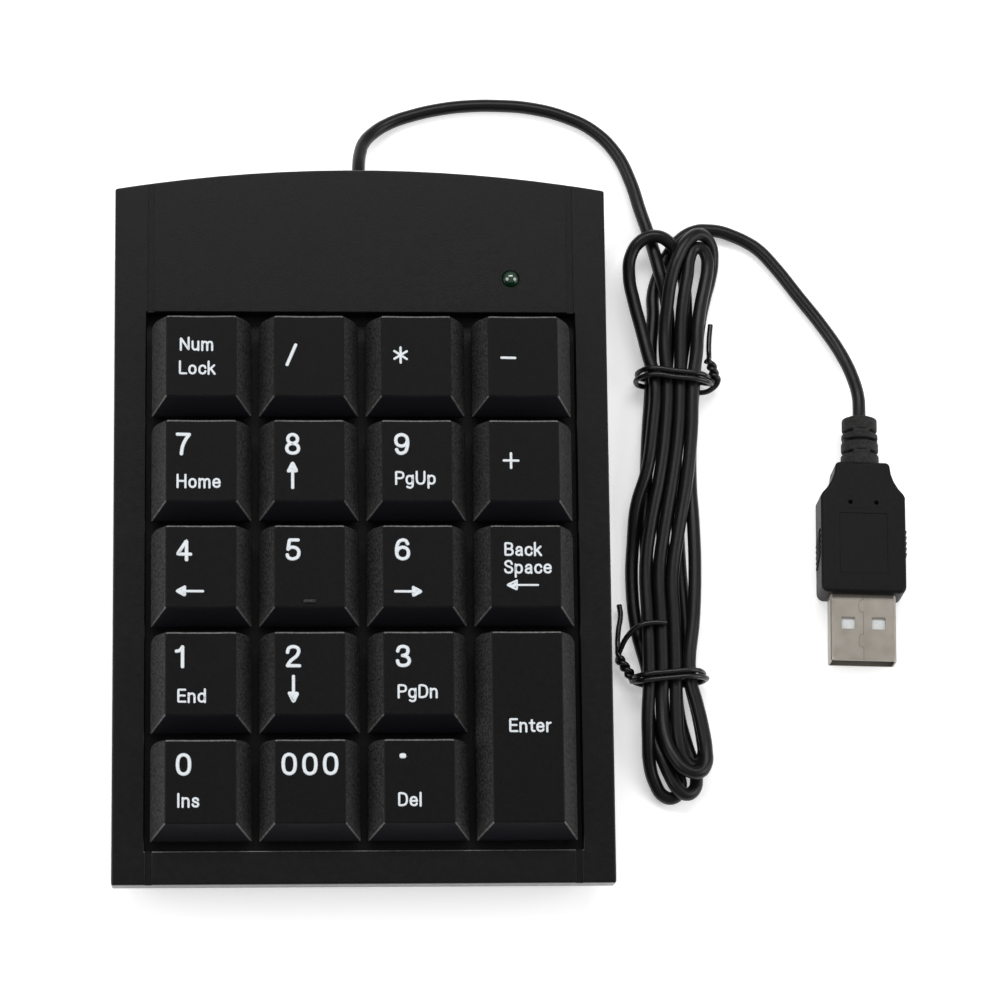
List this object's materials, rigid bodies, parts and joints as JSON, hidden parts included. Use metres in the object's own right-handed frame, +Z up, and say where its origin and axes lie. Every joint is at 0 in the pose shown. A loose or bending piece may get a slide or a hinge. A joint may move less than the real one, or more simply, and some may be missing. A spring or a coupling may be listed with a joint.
{
  "type": "numeric keypad",
  "caption": "Wedge-shaped desktop numeric keypad with sprung full-height keys, a status lamp and a thin lead folded into a tied hank, ending in a USB plug.",
  "frame": {"origin": "middle of the footprint of the case, on the desk that its feet stand on", "axes": "+X to the user's right, +Y to the rear, +Z up"},
  "size_m": [0.1433, 0.1512, 0.0262],
  "materials": {
    "case_plastic": "fine moulded texture, black",
    "key_plastic": "satin top, grained sides, black",
    "foot_rubber": "matt",
    "screw_steel": "zinc plated",
    "spring_wire": "drawn wire",
    "dome_silicone": "translucent silicone, satin",
    "sheet_film": "clear polyester film",
    "strip_rubber": "matt foam rubber",
    "board_laminate": "green solder resist",
    "chip_resin": "black epoxy",
    "chip_ceramic": "satin",
    "capacitor_can": "sleeved can",
    "lamp_lens": "green tinted dome",
    "lead_tin": "tinned",
    "cord_vinyl": "satin vinyl, black",
    "wire_red": "satin vinyl",
    "wire_white": "satin vinyl",
    "wire_green": "satin vinyl",
    "wire_black": "satin vinyl",
    "tie_vinyl": "gloss vinyl over wire, black",
    "plug_vinyl": "fine spark texture, black",
    "shell_nickel": "nickel plated",
    "tongue_plastic": "off-white",
    "contact_gold": "flash plated"
  },
  "bodies": {
    "case": {"bottom_case": "case_plastic", "top_case": "case_plastic", "rubber_feet": "foot_rubber", "case_screws": "screw_steel", "dome_mat": "dome_silicone", "membrane_top": "sheet_film", "membrane_spacer": "sheet_film", "membrane_bottom": "sheet_film", "pressure_strip": "strip_rubber", "controller_board": "board_laminate", "controller_blob": "chip_resin", "chip_resistors": "chip_ceramic", "smoothing_capacitor": "capacitor_can", "board_screws": "screw_steel", "lamp_lens": "lamp_lens", "lamp_legs": "lead_tin", "cord_grommet": "cord_vinyl", "inner_cable": "cord_vinyl", "wire_red": "wire_red", "wire_white": "wire_white", "wire_green": "wire_green", "wire_black": "wire_black", "cord_lead": "cord_vinyl", "cord_hank": "cord_vinyl", "cord_tail": "cord_vinyl", "twist_tie_upper": "tie_vinyl", "twist_tie_lower": "tie_vinyl", "plug_overmould": "plug_vinyl", "plug_shell": "shell_nickel", "plug_tongue": "tongue_plastic", "plug_contacts": "contact_gold"},
    "key_num_lock": {"key_num_lock": "key_plastic"},
    "key_divide": {"key_divide": "key_plastic"},
    "key_multiply": {"key_multiply": "key_plastic"},
    "key_minus": {"key_minus": "key_plastic"},
    "key_7": {"key_7": "key_plastic"},
    "key_8": {"key_8": "key_plastic"},
    "key_9": {"key_9": "key_plastic"},
    "key_plus": {"key_plus": "key_plastic"},
    "key_4": {"key_4": "key_plastic"},
    "key_5": {"key_5": "key_plastic"},
    "key_6": {"key_6": "key_plastic"},
    "key_backspace": {"key_backspace": "key_plastic"},
    "key_1": {"key_1": "key_plastic"},
    "key_2": {"key_2": "key_plastic"},
    "key_3": {"key_3": "key_plastic"},
    "key_enter": {"key_enter": "key_plastic"},
    "key_0": {"key_0": "key_plastic"},
    "key_triple_zero": {"key_triple_zero": "key_plastic"},
    "key_decimal": {"key_decimal": "key_plastic"},
    "stabiliser": {"enter_stabiliser": "spring_wire"}
  },
  "joints": [
    {"name": "press_num_lock", "type": "slide", "parent": "case", "child": "key_num_lock", "axis": [0, -0.0698, 0.9976], "range_m": [-0.0032, 0], "stiffness_N_per_m": 160, "springref_m": 0.0009, "deforming": ["dome_mat"]},
    {"name": "press_divide", "type": "slide", "parent": "case", "child": "key_divide", "axis": [0, -0.0698, 0.9976], "range_m": [-0.0032, 0], "stiffness_N_per_m": 160, "springref_m": 0.0009, "deforming": ["dome_mat"]},
    {"name": "press_multiply", "type": "slide", "parent": "case", "child": "key_multiply", "axis": [0, -0.0698, 0.9976], "range_m": [-0.0032, 0], "stiffness_N_per_m": 160, "springref_m": 0.0009, "deforming": ["dome_mat"]},
    {"name": "press_minus", "type": "slide", "parent": "case", "child": "key_minus", "axis": [0, -0.0698, 0.9976], "range_m": [-0.0032, 0], "stiffness_N_per_m": 160, "springref_m": 0.0009, "deforming": ["dome_mat"]},
    {"name": "press_7", "type": "slide", "parent": "case", "child": "key_7", "axis": [0, -0.0698, 0.9976], "range_m": [-0.0032, 0], "stiffness_N_per_m": 160, "springref_m": 0.0009, "deforming": ["dome_mat"]},
    {"name": "press_8", "type": "slide", "parent": "case", "child": "key_8", "axis": [0, -0.0698, 0.9976], "range_m": [-0.0032, 0], "stiffness_N_per_m": 160, "springref_m": 0.0009, "deforming": ["dome_mat"]},
    {"name": "press_9", "type": "slide", "parent": "case", "child": "key_9", "axis": [0, -0.0698, 0.9976], "range_m": [-0.0032, 0], "stiffness_N_per_m": 160, "springref_m": 0.0009, "deforming": ["dome_mat"]},
    {"name": "press_plus", "type": "slide", "parent": "case", "child": "key_plus", "axis": [0, -0.0698, 0.9976], "range_m": [-0.0032, 0], "stiffness_N_per_m": 160, "springref_m": 0.0009, "deforming": ["dome_mat"]},
    {"name": "press_4", "type": "slide", "parent": "case", "child": "key_4", "axis": [0, -0.0698, 0.9976], "range_m": [-0.0032, 0], "stiffness_N_per_m": 160, "springref_m": 0.0009, "deforming": ["dome_mat"]},
    {"name": "press_5", "type": "slide", "parent": "case", "child": "key_5", "axis": [0, -0.0698, 0.9976], "range_m": [-0.0032, 0], "stiffness_N_per_m": 160, "springref_m": 0.0009, "deforming": ["dome_mat"]},
    {"name": "press_6", "type": "slide", "parent": "case", "child": "key_6", "axis": [0, -0.0698, 0.9976], "range_m": [-0.0032, 0], "stiffness_N_per_m": 160, "springref_m": 0.0009, "deforming": ["dome_mat"]},
    {"name": "press_backspace", "type": "slide", "parent": "case", "child": "key_backspace", "axis": [0, -0.0698, 0.9976], "range_m": [-0.0032, 0], "stiffness_N_per_m": 160, "springref_m": 0.0009, "deforming": ["dome_mat"]},
    {"name": "press_1", "type": "slide", "parent": "case", "child": "key_1", "axis": [0, -0.0698, 0.9976], "range_m": [-0.0032, 0], "stiffness_N_per_m": 160, "springref_m": 0.0009, "deforming": ["dome_mat"]},
    {"name": "press_2", "type": "slide", "parent": "case", "child": "key_2", "axis": [0, -0.0698, 0.9976], "range_m": [-0.0032, 0], "stiffness_N_per_m": 160, "springref_m": 0.0009, "deforming": ["dome_mat"]},
    {"name": "press_3", "type": "slide", "parent": "case", "child": "key_3", "axis": [0, -0.0698, 0.9976], "range_m": [-0.0032, 0], "stiffness_N_per_m": 160, "springref_m": 0.0009, "deforming": ["dome_mat"]},
    {"name": "press_enter", "type": "slide", "parent": "case", "child": "key_enter", "axis": [0, -0.0698, 0.9976], "range_m": [-0.0032, 0], "stiffness_N_per_m": 160, "springref_m": 0.0009, "deforming": ["dome_mat"]},
    {"name": "press_0", "type": "slide", "parent": "case", "child": "key_0", "axis": [0, -0.0698, 0.9976], "range_m": [-0.0032, 0], "stiffness_N_per_m": 160, "springref_m": 0.0009, "deforming": ["dome_mat"]},
    {"name": "press_triple_zero", "type": "slide", "parent": "case", "child": "key_triple_zero", "axis": [0, -0.0698, 0.9976], "range_m": [-0.0032, 0], "stiffness_N_per_m": 160, "springref_m": 0.0009, "deforming": ["dome_mat"]},
    {"name": "press_decimal", "type": "slide", "parent": "case", "child": "key_decimal", "axis": [0, -0.0698, 0.9976], "range_m": [-0.0032, 0], "stiffness_N_per_m": 160, "springref_m": 0.0009, "deforming": ["dome_mat"]},
    {"name": "stabiliser_rock", "type": "hinge", "parent": "case", "child": "stabiliser", "pos_m": [0.03438, -0.03861, 0.01162], "axis": [0, 0.9976, 0.0698], "range_deg": [-30.6, 0]}
  ],
  "couplings": [
    {"joint": "stabiliser_rock", "follows": "press_enter", "rad_per_m": 166.35}
  ]
}
